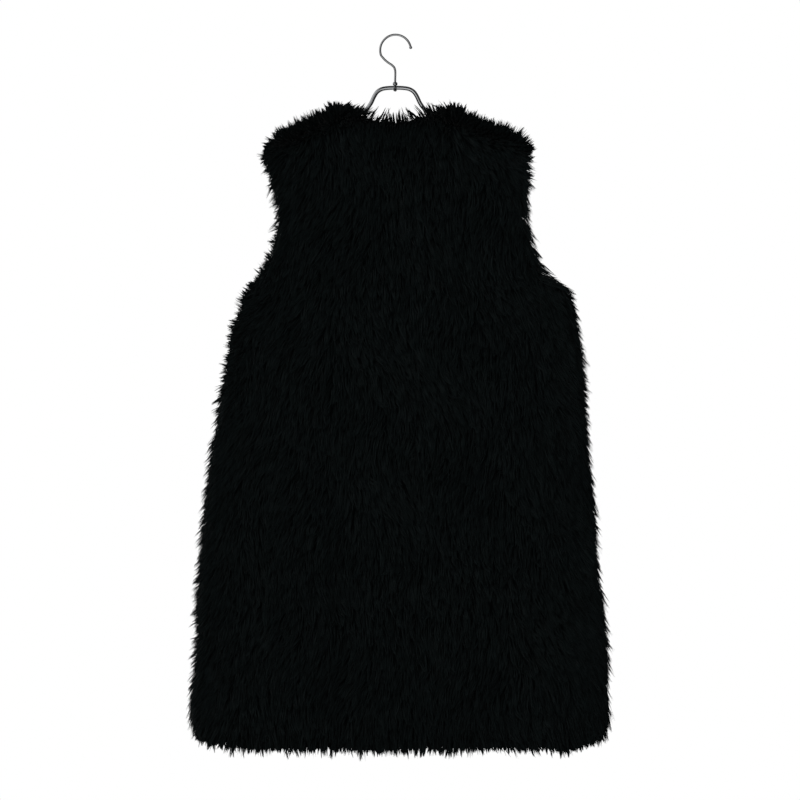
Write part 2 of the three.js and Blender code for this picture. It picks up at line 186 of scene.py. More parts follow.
# %% [markdown]
# Four large soft lights stand round the vest, two on each side, a key and a weaker fill.
# Black fur shows mostly by the faint gloss of its hairs, so the keys come from high up
# and to one side, where they graze the locks.

# %% Lights
LIGHTS = [
    {"name": "back_key", "place": (-1.9, -2.7, 1.3), "power": 54, "size": 1.5},
    {"name": "back_fill", "place": (2.3, -2.4, -0.2), "power": 23, "size": 1.8},
    {"name": "front_key", "place": (1.9, 2.7, 1.3), "power": 54, "size": 1.5},
    {"name": "front_fill", "place": (-2.3, 2.4, -0.2), "power": 23, "size": 1.8},
]


def add_light(row):
    """A square soft light that faces the middle of the vest."""
    data = bpy.data.lights.new(row["name"], "AREA")
    data.energy = row["power"]
    data.size = row["size"]
    light = place_object(row["name"], data)
    light.location = row["place"]
    aim = CAMERA_AIM - Vector(row["place"])
    light.rotation_euler = aim.to_track_quat("-Z", "Y").to_euler()
    light.visible_glossy = False


for light_row in LIGHTS:
    add_light(light_row)
print(len(LIGHTS), "lights")

# %% [markdown]
# Two effects serve more than one finish, so each is a node group with named sockets.
# Mottling wanders between two colours and gives a small height, for fibre, cloth and floor.
# Handling varies how smooth a metal is, as hands and rails leave it, for both steels.

# %% Shared effects


def new_group(name, inputs, outputs):
    """An empty node group with its sockets, and its two end nodes."""
    group = bpy.data.node_groups.new(name, "ShaderNodeTree")
    for socket_name, kind, value in inputs:
        socket = group.interface.new_socket(socket_name, in_out="INPUT", socket_type=kind)
        socket.default_value = value
    for socket_name, kind in outputs:
        group.interface.new_socket(socket_name, in_out="OUTPUT", socket_type=kind)
    return group, group.nodes.new("NodeGroupInput"), group.nodes.new("NodeGroupOutput")


def mottling_group():
    """Noise at a given number of spots to the metre, as a colour and as a height."""
    group, start, end = new_group(
        "mottling",
        [
            ("Spots", "NodeSocketFloat", 100.0),
            ("Dark", "NodeSocketColor", (0, 0, 0, 1)),
            ("Light", "NodeSocketColor", (1, 1, 1, 1)),
        ],
        [("Color", "NodeSocketColor"), ("Height", "NodeSocketFloat")],
    )
    place, noise, mix = add_nodes(group, "TexCoord", "TexNoise", "Mix")
    mix.data_type = "RGBA"
    set_sockets(noise, {"Detail": 4})
    link_nodes(
        group,
        (place, "Object", noise, "Vector"),
        (start, "Spots", noise, "Scale"),
        (noise, "Fac", mix, "Factor"),
        (start, "Dark", mix, "A"),
        (start, "Light", mix, "B"),
        (mix, "Result", end, "Color"),
        (noise, "Fac", end, "Height"),
    )
    return group


def handling_group():
    """How rough a polished metal is from place to place, and its faint drawing lines."""
    group, start, end = new_group(
        "handling",
        [("Smooth", "NodeSocketFloat", 0.1), ("Worn", "NodeSocketFloat", 0.3)],
        [("Roughness", "NodeSocketFloat"), ("Height", "NodeSocketFloat")],
    )
    place, touch, lines, span = add_nodes(group, "TexCoord", "TexNoise", "TexNoise", "MapRange")
    set_sockets(touch, {"Scale": 90, "Detail": 3})
    set_sockets(lines, {"Scale": 2400, "Detail": 1})
    link_nodes(
        group,
        (place, "Object", touch, "Vector"),
        (place, "Object", lines, "Vector"),
        (touch, "Fac", span, "Value"),
        (start, "Smooth", span, "To Min"),
        (start, "Worn", span, "To Max"),
        (span, "Result", end, "Roughness"),
        (lines, "Fac", end, "Height"),
    )
    return group


MOTTLING = mottling_group()
HANDLING = handling_group()
print("shared effects:", MOTTLING.name, HANDLING.name)

# %% [markdown]
# Every finish starts as a Principled shader. Values that are the same all over sit on its own
# sockets, and only what changes over the surface is linked.

# %% Finish helpers


def new_finish(name, plain):
    """A material with its Principled shader, after its plain sockets are set."""
    finish = bpy.data.materials.new(name)
    finish.use_nodes = True
    shader = finish.node_tree.nodes["Principled BSDF"]
    set_sockets(shader, plain)
    return finish, shader


def place_group(finish, group, values):
    """The group as a node of the finish, with its own values."""
    node = finish.node_tree.nodes.new("ShaderNodeGroup")
    node.node_tree = group
    set_sockets(node, values)
    return node


def add_bump(finish, shader, node, height, distance):
    """Links a node's height to the shader's normal."""
    bump = finish.node_tree.nodes.new("ShaderNodeBump")
    set_sockets(bump, {"Distance": distance})
    link_nodes(
        finish.node_tree, (node, height, bump, "Height"), (bump, "Normal", shader, "Normal")
    )


# %% [markdown]
# The hair is a glossy plastic fibre dyed black, with a trace of blue. Each clump has its own
# tone, and each hair gets painted shade, darkest at its root, where light hardly comes. Both lie
# in the hair's UV map: u is the clump's tone and v runs from root to tip.

# %% Hair finish
# The root colour is painted shade: darker than the tip, where light hardly reaches the hair.
HAIR_ROOT_SHADE = (0.0018, 0.0028, 0.0029, 1)
HAIR_TIP = (0.0048, 0.0073, 0.0075, 1)
HAIR_TONE_SPAN = (0.85, 1.15)
HAIR_UV = "OFBake"


def hair_finish():
    """Black hair whose colour comes from its clump, with painted shade that darkens it towards the
    root.
    """
    finish, shader = new_finish(
        "fur_hair",
        {"Roughness": 0.5, "Specular IOR Level": 0.07, "Sheen Weight": 0.025, "Sheen Roughness": 0.4},
    )
    tree = finish.node_tree
    place, parts, length, span, tone = add_nodes(
        tree, "UVMap", "SeparateXYZ", "Mix", "MapRange", "Mix"
    )
    place.uv_map = HAIR_UV
    length.data_type = "RGBA"
    tone.data_type = "RGBA"
    tone.blend_type = "MULTIPLY"
    # Painted shade: the colour runs from the darker root to the tip.
    set_sockets(length, {"A": HAIR_ROOT_SHADE, "B": HAIR_TIP})
    set_sockets(span, {"To Min": HAIR_TONE_SPAN[0], "To Max": HAIR_TONE_SPAN[1]})
    set_sockets(tone, {"Factor": 1})
    link_nodes(
        tree,
        (place, "UV", parts, 0),
        (parts, "Y", length, "Factor"),
        (parts, "X", span, "Value"),
        (length, "Result", tone, "A"),
        (span, "Result", tone, "B"),
        (tone, "Result", shader, "Base Color"),
    )
    return finish


HAIR = hair_finish()

# %% [markdown]
# Under the long hair stands a short dense fibre, which hides the cloth. It is matt and darker.
# The cloth itself is a black knit whose ribs run down the garment. It shows only from inside,
# at the neck, the armholes and the hem.

# %% Fibre and cloth finishes
FIBRE_DARK = (0.0010, 0.0015, 0.0016, 1)
FIBRE_LIGHT = (0.0028, 0.0042, 0.0044, 1)
KNIT_DARK = (0.0045, 0.0050, 0.0052, 1)
KNIT_LIGHT = (0.0120, 0.0128, 0.0132, 1)
KNIT_RIBS = 520
FIBRE_BUMP = 1.5 * MM
KNIT_BUMP = 0.4 * MM


def fibre_finish():
    """Matt black underfur with fine broken fibre."""
    finish, shader = new_finish("fur_fibre", {"Roughness": 0.95, "Specular IOR Level": 0.03})
    spots = place_group(finish, MOTTLING, {"Spots": 260, "Dark": FIBRE_DARK, "Light": FIBRE_LIGHT})
    link_nodes(finish.node_tree, (spots, "Color", shader, "Base Color"))
    add_bump(finish, shader, spots, "Height", FIBRE_BUMP)
    return finish


def knit_finish():
    """Black knitted backing with fine ribs."""
    finish, shader = new_finish(
        "knit_backing", {"Roughness": 0.88, "Specular IOR Level": 0.12, "Sheen Weight": 0.08}
    )
    tree = finish.node_tree
    spots = place_group(finish, MOTTLING, {"Spots": 420, "Dark": KNIT_DARK, "Light": KNIT_LIGHT})
    place, ribs, both = add_nodes(tree, "TexCoord", "TexWave", "Math")
    ribs.bands_direction = "X"
    set_sockets(ribs, {"Scale": KNIT_RIBS / math.tau, "Distortion": 0.6})
    both.operation = "MULTIPLY_ADD"
    both.inputs[1].default_value = 0.5
    link_nodes(
        tree,
        (place, "Object", ribs, "Vector"),
        (spots, "Height", both, 0),
        (ribs, "Fac", both, 2),
        (spots, "Color", shader, "Base Color"),
    )
    add_bump(finish, shader, both, 0, KNIT_BUMP)
    return finish


FIBRE = fibre_finish()
KNIT = knit_finish()

# %% [markdown]
# The hanger is bright drawn steel. The boss and the rivet head are a duller, darker steel, and
# the small collar over them lies between the two.

# %% Steel finishes
STEEL_BUMP = 0.003 * MM


def steel_finish(name, colour, smooth, worn):
    """Metal with a roughness that varies where it is handled."""
    finish, shader = new_finish(name, {"Base Color": colour, "Metallic": 1})
    touched = place_group(finish, HANDLING, {"Smooth": smooth, "Worn": worn})
    link_nodes(finish.node_tree, (touched, "Roughness", shader, "Roughness"))
    add_bump(finish, shader, touched, "Height", STEEL_BUMP)
    return finish


STEEL = steel_finish("bright_steel", (0.50, 0.51, 0.52, 1), 0.10, 0.22)
DULL_STEEL = steel_finish("dull_steel", (0.16, 0.165, 0.17, 1), 0.22, 0.42)
COLLAR_STEEL = steel_finish("collar_steel", (0.36, 0.365, 0.37, 1), 0.12, 0.26)

# %% [markdown]
# The floor is a pale disc well below the hem. It is stage, not part of the vest, and the
# level camera looks over it.

# %% Floor
FLOOR_HEIGHT = -1.35
FLOOR_RADIUS = 1.15
FLOOR_SIDES = 128


def make_floor():
    """A flat pale disc."""
    shape = bmesh.new()
    bmesh.ops.create_circle(shape, cap_ends=True, segments=FLOOR_SIDES, radius=FLOOR_RADIUS)
    data = bpy.data.meshes.new("floor")
    shape.to_mesh(data)
    shape.free()
    finish, shader = new_finish("floor_pale", {"Roughness": 0.7, "Specular IOR Level": 0.2})
    spots = place_group(
        finish, MOTTLING, {"Spots": 12, "Dark": (0.74, 0.74, 0.73, 1), "Light": (0.8, 0.8, 0.79, 1)}
    )
    link_nodes(finish.node_tree, (spots, "Color", shader, "Base Color"))
    data.materials.append(finish)
    floor = place_object("floor", data)
    floor.location.z = FLOOR_HEIGHT
    floor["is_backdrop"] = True


make_floor()

# %% [markdown]
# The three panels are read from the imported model, so the fur grows on the garment's real form.
# A panel is a closed wall round the knit and its pile.

# %% Read the panels
PANELS = {"back": -1, "front_left": 1, "front_right": 1}
MERGE_DISTANCE = 0.01 * MM


def read_panel(name):
    """Points, triangles and normals of a packed panel, with its split corners merged."""
    shape = bmesh.new()
    shape.from_mesh(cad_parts[name].data)
    bmesh.ops.remove_doubles(shape, verts=shape.verts, dist=MERGE_DISTANCE)
    bmesh.ops.triangulate(shape, faces=shape.faces)
    bmesh.ops.recalc_face_normals(shape, faces=shape.faces)
    shape.verts.index_update()
    panel = {
        "name": name,
        "facing": PANELS[name],
        "points": np.array([vert.co for vert in shape.verts]),
        "normals": np.array([vert.normal for vert in shape.verts]),
        "triangles": np.array([[vert.index for vert in face.verts] for face in shape.faces]),
        "face_normals": np.array([face.normal for face in shape.faces]),
        "areas": np.array([face.calc_area() for face in shape.faces]),
    }
    shape.free()
    return panel


def tree_of(panels, chosen):
    """A search tree over the chosen faces of several panels."""
    points = []
    triangles = []
    for panel in panels:
        triangles.extend((panel["triangles"][panel[chosen]] + len(points)).tolist())
        points.extend(panel["points"].tolist())
    return BVHTree.FromPolygons(points, triangles)


def tree_at(places):
    """A search tree over places, each with its number."""
    tree = KDTree(len(places))
    for number, place in enumerate(places.tolist()):
        tree.insert(place, number)
    tree.balance()
    return tree


panels = {name: read_panel(name) for name in PANELS}
for panel in panels.values():
    panel["all"] = np.ones(len(panel["triangles"]), bool)
everything = tree_of(panels.values(), "all")
print(sum(len(panel["triangles"]) for panel in panels.values()), "triangles in the panels")

# %% [markdown]
# The fringe of the fur is seen against the white ground, so the hair has to know where the vest's
# outline runs. The panels' edges are cut by level and by upright planes. The outermost cuts make
# one line round the vest: up the left side, over the shoulders and the neck, down the right
# side and back along the hem. Every point of it gets a normal that looks out.

# %% Outline of the vest
OUTLINE_STEP = 3 * MM
OUTLINE_SMOOTH = 4
SIDE_SPAN = (-1.016, -0.166)
TOP_SPAN = (-0.187, 0.195)
HEM_SPAN = (-0.286, 0.294)
FRINGE_BAND = 26 * MM
FRINGE_RUN = 16 * MM

edge_ends = np.concatenate(
    [
        panel["points"][panel["triangles"][:, pair]]
        for panel in panels.values()
        for pair in ([0, 1], [1, 2], [2, 0])
    ]
)


def extent(level, along, across):
    """The least and the greatest value on one axis where the panels cross a level of another."""
    start, stop = edge_ends[:, 0], edge_ends[:, 1]
    crosses = (start[:, along] - level) * (stop[:, along] - level) < 0
    start, stop = start[crosses], stop[crosses]
    share = (level - start[:, along]) / (stop[:, along] - start[:, along])
    found = start[:, across] + (stop[:, across] - start[:, across]) * share
    return found.min(), found.max()


def outline():
    """Points of the vest's outline in XZ, clockwise as the back is seen, and their normals."""
    heights = np.arange(*SIDE_SPAN, OUTLINE_STEP)
    sides = np.array([extent(height, 2, 0) for height in heights])
    across = np.arange(*TOP_SPAN, OUTLINE_STEP)
    tops = np.array([extent(x, 0, 2)[1] for x in across])
    along_hem = np.arange(*HEM_SPAN, OUTLINE_STEP)
    hems = np.array([extent(x, 0, 2)[0] for x in along_hem])
    line = np.vstack(
        [
            np.stack([sides[:, 0], heights], 1),
            np.stack([across, tops], 1),
            np.stack([sides[:, 1], heights], 1)[::-1],
            np.stack([along_hem, hems], 1)[::-1],
        ]
    )
    way = np.roll(line, -OUTLINE_SMOOTH, 0) - np.roll(line, OUTLINE_SMOOTH, 0)
    normals = np.stack([-way[:, 1], way[:, 0]], 1)
    return line, normals / np.linalg.norm(normals, axis=1)[:, None]


outline_points, outline_normals = outline()
outline_tree = tree_at(np.insert(outline_points, 1, 0, axis=1))
print("outline of", len(outline_points), "points")


def past_outline(places):
    """How far each place stands past the outline, and the outline's normal there."""
    flat = places * (1, 0, 1)
    near = np.array([outline_tree.find(place)[1] for place in flat.tolist()])
    normals = outline_normals[near]
    return ((places[:, [0, 2]] - outline_points[near]) * normals).sum(1), normals


# %% [markdown]
# A panel's faces are told apart by what they look at. A face that looks into the other panel
# across a seam is a seam. One that turns inward, but out across the outline, is the rolled
# lip of a cut edge. Of the rest, those that look across the hollow are the inside of the cloth
# and those that look into the open carry fur. The fronts' neckline looks at the back, and yet
# it carries fur.

# %% Sort the faces
SEAM_SIGHT = 2 * MM
OPEN_SIGHT = 0.9
LIFT_OFF = 0.1 * MM
INWARD_LIMIT = -0.25
OUTWARD_LIMIT = 0.3
LIP_BAND = -20 * MM
DOWNWARD_LIMIT = -0.5
HEM_BAND = 0.08
NECKLINE_HALF = 0.09
NECKLINE_DROP = 0.24
NECKLINE_UPWARD = 0.15


def sort_faces(panel, tree):
    """Marks which faces of a panel carry fur and which are the inside of its cloth."""
    middles = panel["points"][panel["triangles"]].mean(1)
    past, out = past_outline(middles)
    outward = (panel["face_normals"][:, [0, 2]] * out).sum(1)
    hem = panel["points"][:, 2].min() + HEM_BAND
    kinds = []
    for face, (middle, normal) in enumerate(zip(middles, panel["face_normals"])):
        start = Vector(middle + normal * LIFT_OFF)
        seen = tree.ray_cast(start, Vector(normal), OPEN_SIGHT)[3]
        looks_in = normal[1] * panel["facing"] < INWARD_LIMIT
        looks_down = normal[2] < DOWNWARD_LIMIT and middle[2] > hem
        at_neck = abs(middle[0]) < NECKLINE_HALF and middle[2] > -NECKLINE_DROP
        on_neckline = at_neck and not looks_in and normal[2] > NECKLINE_UPWARD
        if on_neckline:
            kinds.append("furred")
        elif seen is not None and seen < SEAM_SIGHT:
            kinds.append("seam")
        elif looks_in and outward[face] > OUTWARD_LIMIT and past[face] > LIP_BAND:
            kinds.append("lip")
        else:
            kinds.append("inside" if seen is not None or looks_in or looks_down else "furred")
    kinds = np.array(kinds)
    panel["furred"] = kinds == "furred"
    panel["inside"] = kinds == "inside"
    panel["open"] = panel["furred"] | (kinds == "lip")
    print(panel["name"], {kind: int((kinds == kind).sum()) for kind in sorted(set(kinds))})


for panel in panels.values():
    sort_faces(panel, everything)
outside = tree_of(panels.values(), "furred")

# %% [markdown]
# The cloth and the short fibre are the same panel with a thinner wall. Each point of the wall
# moves towards the nearest point on the cloth's inside: to two millimetres for the cloth, and
# to a part of the way, in uneven lumps, for the fibre. So both stay closed, and clear of the
# hanger, and keep the panel's folds. The fibre thins out towards the cut edges at the neck, the
# armholes and the hem, so that only long hair stands past the cloth's edge.

# %% Thinner walls
CLOTH_THICKNESS = 2 * MM
FIBRE_START = 2.3 * MM
FIBRE_SHARE = 0.4
FIBRE_LUMP = 0.1
RIM_SHARE = 0.2
RIM_RUN = 16 * MM
ARMHOLE_TOP = 0.195
ARMHOLE_END = 0.46
ARMHOLE_RUN = 0.03
ARMHOLE_BACK = {"left": 10 * MM, "right": 5 * MM}
LUMP_SIZE = 0.045
LUMP_SEED = 3
WAVES = 7
WAVE_SPREAD = (0.6, 1.4)


def unit(vectors):
    """The vectors, each with length 1."""
    return vectors / np.maximum(np.linalg.norm(vectors, axis=-1), 1e-9)[..., None]


def smooth(values):
    """An S curve from 0 at 0 to 1 at 1."""
    values = np.clip(values, 0, 1)
    return values * values * (3 - 2 * values)


def drift(places, size, seed):
    """A smooth wandering value, mostly from -1 to 1, that changes over the given size."""
    draws = np.random.default_rng(seed)
    ways = draws.normal(size=(WAVES, 3))
    ways /= np.linalg.norm(ways, axis=1)[:, None]
    ways *= draws.uniform(*WAVE_SPREAD, (WAVES, 1)) * math.tau / size
    starts = draws.uniform(0, math.tau, WAVES)
    return np.sin(places @ ways.T + starts).sum(1) / math.sqrt(WAVES)


def find_inside(panel):
    """The nearest point on the cloth's inside for each point, and how far a cut edge is from it."""
    tree = tree_of([panel], "inside")
    panel["base"] = np.array([tree.find_nearest(point)[0] for point in panel["points"].tolist()])
    panel["depth"] = np.linalg.norm(panel["points"] - panel["base"], axis=1)
    sides = [np.unique(panel["triangles"][panel[part]]) for part in ("inside", "open")]
    rim = tree_at(panel["points"][np.intersect1d(*sides)])
    panel["rim_run"] = np.array([rim.find(place)[2] for place in panel["base"].tolist()])


def held_back(points):
    """The points, moved in where they come too near the outline at an armhole."""
    drop = -points[:, 2]
    at_hole = smooth((drop - ARMHOLE_TOP) / ARMHOLE_RUN) * smooth((ARMHOLE_END - drop) / ARMHOLE_RUN)
    past, out = past_outline(points)
    back = np.where(points[:, 0] < 0, ARMHOLE_BACK["left"], ARMHOLE_BACK["right"])
    shift = np.clip(past + 2 * back, 0, 2 * back) / 2 * at_hole
    points[:, [0, 2]] -= out * shift[:, None]
    return points


def wall_points(panel, heights):
    """The panel's points at the given heights over the cloth's inside, at most their own."""
    depth = np.maximum(panel["depth"], MERGE_DISTANCE)
    share = np.minimum(1, heights / depth)[:, None]
    return panel["base"] + (panel["points"] - panel["base"]) * share


def fibre_points(panel):
    """The surface of the short fibre, which also covers the cloth's outer face."""
    lumps = FIBRE_SHARE + FIBRE_LUMP * drift(panel["points"], LUMP_SIZE, LUMP_SEED)
    lumps *= RIM_SHARE + (1 - RIM_SHARE) * np.clip(panel["rim_run"] / RIM_RUN, 0, 1)
    points = wall_points(panel, np.maximum(FIBRE_START, panel["depth"] * lumps))
    on_cloth = panel["depth"] < LIFT_OFF
    points[on_cloth] -= panel["normals"][on_cloth] * FIBRE_START
    return points


def add_piece(name, data, finish):
    """An object that rides on the one body."""
    data.materials.append(finish)
    piece = place_object(name, data)
    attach(piece, "root")
    return piece


def make_piece(name, points, faces, finish, slot):
    """A smooth piece from its points and faces."""
    data = bpy.data.meshes.new(name)
    data.from_pydata(points.tolist(), [], faces)
    data.shade_smooth()
    return add_piece(name, data, finish)


for name, panel in panels.items():
    find_inside(panel)
    faces = panel["triangles"].tolist()
    panel["fibre"] = held_back(fibre_points(panel))
    cloth_points = held_back(wall_points(panel, np.full(len(panel["points"]), CLOTH_THICKNESS)))
    make_piece(name + "_cloth", cloth_points, faces, KNIT, "fur")
    make_piece(name + "_fibre", panel["fibre"], faces, FIBRE, "fur")
    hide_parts(name)
    print(name, "wall up to", round(panel["depth"].max() / MM, 1), "mm,", len(faces), "faces")

# %% [markdown]
# The long hair lies as it was brushed. On the faces it lies nearly flat and runs down, a little
# outward to the sides. Along the outline it is seen against the white ground, so its lie there
# follows the photograph: up on the shoulders, towards the middle round the neck, nearly level at
# the armholes, steeper and steeper down the sides, and straight down at the hem.
# For the left and the right side a table gives, by the drop below the hook, the angle of the
# hair over the level in degrees, and how much further out the fringe stands, in millimetres.
# Two short tables give how far the fringe stands out along the top edge and the hem, from left
# to right.

# %% Lie of the hair
HALF_WIDTH = 0.3
FAN = 0.3
FACE_LIFT = math.radians(22)
WANDER = 0.28
WANDER_SIZE = 0.16
WANDER_SEED = 11
SIDE_WANDER = 9
SIDE_FULL = 0.85
SIDE_SPREAD = 0.45
TOP_END = 0.215
TOP_FULL = 0.7
NECK_HALF = 0.1
NECK_LEAN = 0.5
NECK_STEP = 0.03
HEM_START = 0.96
HEM_FULL = 0.6
HEM_TILT = 0.17
HEM_SPREAD = 0.3
SIDE_COLUMNS = ("drop", "left", "right", "left_out", "right_out")
SIDE_LIE = [
    (0.165, -32, 5, 3.5, 3.5),
    (0.190, -8, -5, 3.5, 3.5),
    (0.225, -5, -35, 3.5, 3.5),
    (0.270, 5, -38, 0.0, 3.5),
    (0.310, 35, -38, -1.5, 5.0),
    (0.345, 52, -12, -2.0, 5.5),
    (0.370, 48, -8, -2.5, 4.5),
    (0.400, 25, -45, -3.5, 1.0),
    (0.440, 8, -50, -4.0, -1.5),
    (0.480, -15, -52, -2.5, -1.0),
    (0.530, -40, -55, -1.0, 0.5),
    (0.620, -38, -58, 1.0, 0.5),
    (0.700, -38, -60, 1.0, -1.0),
    (0.800, -38, -62, -2.0, -7.0),
    (0.880, -38, -64, -4.5, 0.0),
    (0.960, -52, -68, -4.0, 6.5),
    (1.010, -68, -72, -2.5, 10.5),
]
TOP_OUT = {"at": (-0.065, -0.035, 0.035, 0.065), "out": (-0.5, 5.0, 5.0, -1.0)}
HEM_OUT = {"at": (-0.10, 0.00, 0.10, 0.16, 0.22), "out": (-1.0, 1.0, -2.0, -4.0, -1.0)}


def side_table(heights, column):
    """The value of a column of the table at each height."""
    columns = dict(zip(SIDE_COLUMNS, zip(*SIDE_LIE)))
    return np.interp(-heights, columns["drop"], columns[column])


def edge_shares(skin, normals):
    """How much each point belongs to a side, to the shoulders and neck, and to the hem."""
    drop = -skin[:, 2]
    top = smooth(normals[:, 2] / TOP_FULL) * (drop < TOP_END)
    hem = smooth(-normals[:, 2] / HEM_FULL) * (drop > HEM_START)
    side = smooth(np.abs(normals[:, 0]) / SIDE_FULL) * (1 - top) * (1 - hem)
    return side, top, hem


def face_lie(skin, normals, wander):
    """Down along the surface, and lifted a little from it."""
    down = np.zeros_like(skin)
    down[:, 0] = FAN * skin[:, 0] / HALF_WIDTH + WANDER * wander
    down[:, 2] = -1
    along = unit(down - normals * (down * normals).sum(1)[:, None])
    return along * math.cos(FACE_LIFT) + normals * math.sin(FACE_LIFT)


def side_lie(skin, normals, wander):
    """Outward at the angle over the level that the table gives for this height and side."""
    hand = np.sign(skin[:, 0])
    level = np.where(hand < 0, side_table(skin[:, 2], "left"), side_table(skin[:, 2], "right"))
    angle = np.radians(level + SIDE_WANDER * wander)
    return np.stack([hand * np.cos(angle), SIDE_SPREAD * normals[:, 1], np.sin(angle)], 1)


def top_lie(skin, normals):
    """Straight up from the shoulders, and leaning to the middle round the neck."""
    across = np.abs(skin[:, 0])
    lean = NECK_LEAN * smooth((NECK_HALF - across) / NECK_STEP) * smooth(across / NECK_STEP)
    way = normals.copy()
    way[:, 0] -= np.sign(skin[:, 0]) * lean
    return way


def lie(skin, normals):
    """The way that hair lies at each point."""
    wander = drift(skin, WANDER_SIZE, WANDER_SEED)
    side, top, hem = edge_shares(skin, normals)
    hanging = np.stack([HEM_TILT * wander, HEM_SPREAD * normals[:, 1], -np.ones(len(skin))], 1)
    edge = np.clip(side + top + hem, 0, 1)[:, None]
    way = unit(
        side_lie(skin, normals, wander) * side[:, None]
        + top_lie(skin, normals) * top[:, None]
        + hanging * hem[:, None]
    )
    return unit(face_lie(skin, normals, wander) * (1 - edge) + way * edge)


# %% [markdown]
# Hairs are sown evenly over the furred faces. Clumps are sown the same way. Each hair bends
# from its own root towards the tip of the nearest clump, so the hairs meet in points, as
# worn faux fur does. Hairs and clumps are shortened first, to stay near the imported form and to
# end where their clump may end at the outline. Few clumps reach far out and most end early, so
# the fringe thins from a solid mass to single points.
# Two coats are grown so: broad hairs that cover everything and end inside the outline, and a
# fringe of fine hairs along the edges.

# %% Sow and bend the hairs
ROOT_SHARE = 0.8
LENGTH_SPREAD = 0.16
CLUMP_SPREAD = 0.2
CURL = 0.28
LOOSE_SHARE = 0.12
LOOSE_PULL = 0.1
CLUMP_ROOM = 0.12
PULL_POWER = 1.5
LEAST_SHARE = 0.12
MOST_TAIL = 0.5
FRINGE_HEIGHT = 13 * MM
DRAW_MIDDLE = 0.4
DRAW_SPREAD = 0.27
DRAW_END = 1.1
COATS = {
    "cover": {
        "length": 28 * MM,
        "width": 1.8 * MM,
        "steps": 3,
        "clump_gap": 10.5 * MM,
        "clump_turn": 0.2,
        "hair_turn": 0.1,
        "pull": (0.45, 0.85),
        "on_faces": 1.0,
        "face": -1.5 * MM,
        "mass": {"left": -12.0, "right": -9.0, "top": -11.0, "hem": -13.0},
        "tips": {"left": -8.0, "right": -5.0, "top": -7.0, "hem": -9.0},
        "hair_tail": 1.0 * MM,
    },
    "fringe": {
        "length": 38 * MM,
        "width": 1.15 * MM,
        "steps": 2,
        "clump_gap": 3.6 * MM,
        "clump_turn": 0.15,
        "hair_turn": 0.07,
        "pull": (0.65, 0.97),
        "on_faces": 0.03,
        "face": -2.0 * MM,
        "mass": {"left": -6.0, "right": -5.5, "top": -5.0, "hem": -6.0},
        "tips": {"left": 11.0, "right": 11.0, "top": 13.0, "hem": 12.0},
        "hair_tail": 0.8 * MM,
    },
}


def sow(panel, count, draws, on_faces):
    """Roots spread over the furred faces: skin, root and normal of each, and the area they fill."""
    furred = panel["furred"]
    triangles = panel["triangles"][furred]
    middles = panel["points"][triangles].mean(1)
    at_edge = sum(edge_shares(middles, panel["face_normals"][furred]))
    at_edge += smooth((past_outline(middles)[0] + FRINGE_BAND) / FRINGE_RUN)
    at_edge = np.clip(at_edge, 0, 1)
    weights = panel["areas"][furred] * (on_faces + (1 - on_faces) * at_edge)
    filled = np.cumsum(weights) / weights.sum()
    steps = (np.arange(count) + draws.random(count)) / count
    face = np.minimum(np.searchsorted(filled, steps), len(triangles) - 1)
    first, second = draws.random((2, count))
    over = first + second > 1
    first[over] = 1 - first[over]
    second[over] = 1 - second[over]
    shares = np.stack([1 - first - second, first, second], 1)[..., None]
    corners = triangles[face]
    inner = panel["base"] + (panel["fibre"] - panel["base"]) * ROOT_SHARE
    skin = (panel["points"][corners] * shares).sum(1)
    root = (inner[corners] * shares).sum(1)
    normals = unit((panel["normals"][corners] * shares).sum(1))
    return skin, root, normals, weights.sum()


def over_form(places):
    """The height of each place over the furred form, with the nearest spot and its normal."""
    near = [outside.find_nearest(place) for place in places.tolist()]
    spots = np.array([found[0] for found in near])
    normals = np.array([found[1] for found in near])
    return ((places - spots) * normals).sum(1), spots, normals


def outline_reach(coat, places, normals, draw):
    """How far past the outline hair may end, from a draw of 0 for the mass to 1 for the tips."""
    left, right = (np.maximum(hand * normals[:, 0], 0) ** 2 for hand in (-1, 1))
    hem, top = (np.maximum(hand * normals[:, 1], 0) ** 2 for hand in (-1, 1))
    sides = {"left": left, "right": right, "top": top, "hem": hem}
    mass, tips = (
        sum(share * coat[end][side] * MM for side, share in sides.items())
        for end in ("mass", "tips")
    )
    further = left * side_table(places[:, 2], "left_out")
    further += right * side_table(places[:, 2], "right_out")
    further += top * np.interp(places[:, 0], TOP_OUT["at"], TOP_OUT["out"])
    further += hem * np.interp(places[:, 0], HEM_OUT["at"], HEM_OUT["out"])
    return mass + (tips - mass) * draw + further * MM


def shares_within(low, high, limit):
    """The share of each hair, from its low root to its high tip, that stays under the limit."""
    share = (limit - low) / np.maximum(high - low, 1e-6)
    return np.where(high > limit, np.clip(share, LEAST_SHARE, 1), 1)


def shorten(paths, coat, draw):
    """Each hair, scaled about its root so that it stays near the form and its outline."""
    low = over_form(paths[:, 0])[0]
    high, spots, normals = over_form(paths[:, -1])
    at_edge = np.clip(sum(edge_shares(spots, normals)), 0, 1)
    height = coat["face"] + (FRINGE_HEIGHT - coat["face"]) * at_edge
    share = shares_within(low, high, height)
    low = past_outline(paths[:, 0])[0]
    high, normals = past_outline(paths[:, -1])
    limit = outline_reach(coat, paths[:, -1], normals, draw)
    share = np.minimum(share, shares_within(low, high, limit))[:, None, None]
    return paths[:, :1] + (paths - paths[:, :1]) * share


def sow_clumps(panel, coat, count, draws):
    """The clumps of a coat: root, tip, tone, length share and how far out each reaches."""
    skin, root, normals, _ = sow(panel, count, draws, coat["on_faces"])
    way = unit(lie(skin, normals) + draws.normal(0, coat["clump_turn"], (count, 3)))
    share = 1 + CLUMP_SPREAD * draws.uniform(-1, 1, count)
    draw = np.clip(draws.normal(DRAW_MIDDLE, DRAW_SPREAD, count), 0, DRAW_END)
    ends = np.stack([root, root + way * (coat["length"] * share)[:, None]], 1)
    return {
        "root": root,
        "tip": shorten(ends, coat, draw)[:, 1],
        "tone": draws.random(count),
        "share": share,
        "draw": draw,
    }


